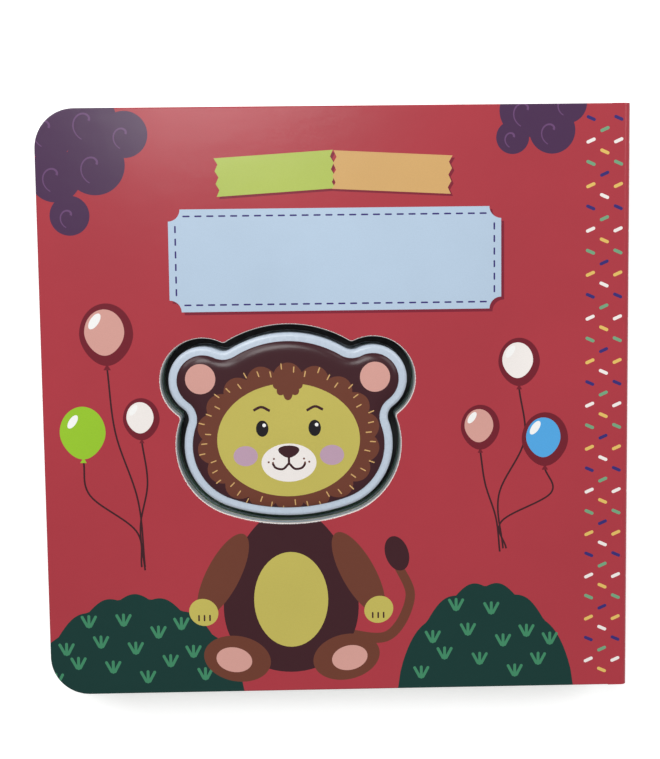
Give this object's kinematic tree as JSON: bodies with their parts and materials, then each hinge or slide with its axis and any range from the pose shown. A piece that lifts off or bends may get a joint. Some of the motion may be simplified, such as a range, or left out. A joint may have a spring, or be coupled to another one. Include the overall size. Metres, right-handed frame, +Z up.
{
  "type": "sound book",
  "caption": "Square board book with a window through its leaves, in which an animal head stands on a sound unit and is pressed to play a sound.",
  "frame": {"origin": "middle of the footprint, on the surface that the book lies on", "axes": "+Z up, out of the front cover; +Y to the cover's top edge; +X to the spine"},
  "size_m": [0.18, 0.18, 0.0262],
  "materials": {
    "laminated_board": "white board with a printed red face under gloss film",
    "laminated_card": "printed red card under gloss film",
    "grey_board": "uncoated grey board, die-cut",
    "case_plastic": "moulded, fine texture",
    "dark_plastic": "moulded, fine texture",
    "head_plastic": "moulded, polished",
    "face_film": "printed film over soft foam",
    "pill_rubber": "moulded, matte",
    "board_resin": "glass-fibre laminate and cast resin",
    "can": "drawn can",
    "spring_steel": "nickel-plated",
    "cell_steel": "nickel-plated, drawn",
    "film": "thin clear film",
    "lead_insulation": "extruded"
  },
  "bodies": {
    "book": {"back_cover": "laminated_board", "spacer_frame": "grey_board", "sound_unit_page": "laminated_board", "page_block": "laminated_board", "spine_wrap": "laminated_card", "back_case": "case_plastic", "front_case": "dark_plastic", "battery_door": "case_plastic", "circuit_board": "board_resin", "sound_chip": "board_resin", "capacitor": "can", "resistor": "board_resin", "speaker_basket": "spring_steel", "speaker_magnet": "spring_steel", "speaker_cone": "film", "button_cell_1": "cell_steel", "button_cell_2": "cell_steel", "button_cell_3": "cell_steel", "cell_link_top": "spring_steel", "cell_link_bottom": "spring_steel", "contact_plus": "spring_steel", "contact_minus": "spring_steel", "battery_door_screw": "spring_steel", "case_screw_1": "spring_steel", "case_screw_2": "spring_steel", "case_screw_3": "spring_steel", "case_screw_4": "spring_steel", "switch_body": "spring_steel", "lead_cell_minus": "lead_insulation", "lead_cell_plus": "lead_insulation", "lead_switch": "lead_insulation", "lead_speaker_1": "lead_insulation", "lead_speaker_2": "lead_insulation", "return_spring_left": "spring_steel", "return_spring_right": "spring_steel", "return_spring_chin": "spring_steel"},
    "front_cover": {"front_cover": "laminated_board"},
    "head_button": {"head_shell": "head_plastic", "face_pad": "face_film", "contact_pill": "pill_rubber"},
    "switch_knob": {"switch_knob": "dark_plastic"}
  },
  "joints": [
    {"name": "front_cover_hinge", "type": "hinge", "parent": "book", "child": "front_cover", "pos_m": [0.0876, 0, 0.0244], "axis": [0, 1, 0], "range_deg": [0, 180]},
    {"name": "head_press", "type": "slide", "parent": "book", "child": "head_button", "axis": [0, 0, -1], "range_m": [0, 0.0015], "stiffness_N_per_m": 1200, "springref_m": -0.001, "deforming": ["return_spring_left", "return_spring_right", "return_spring_chin"]},
    {"name": "power_switch_slide", "type": "slide", "parent": "book", "child": "switch_knob", "axis": [0, 1, 0], "range_m": [0, 0.003]}
  ]
}
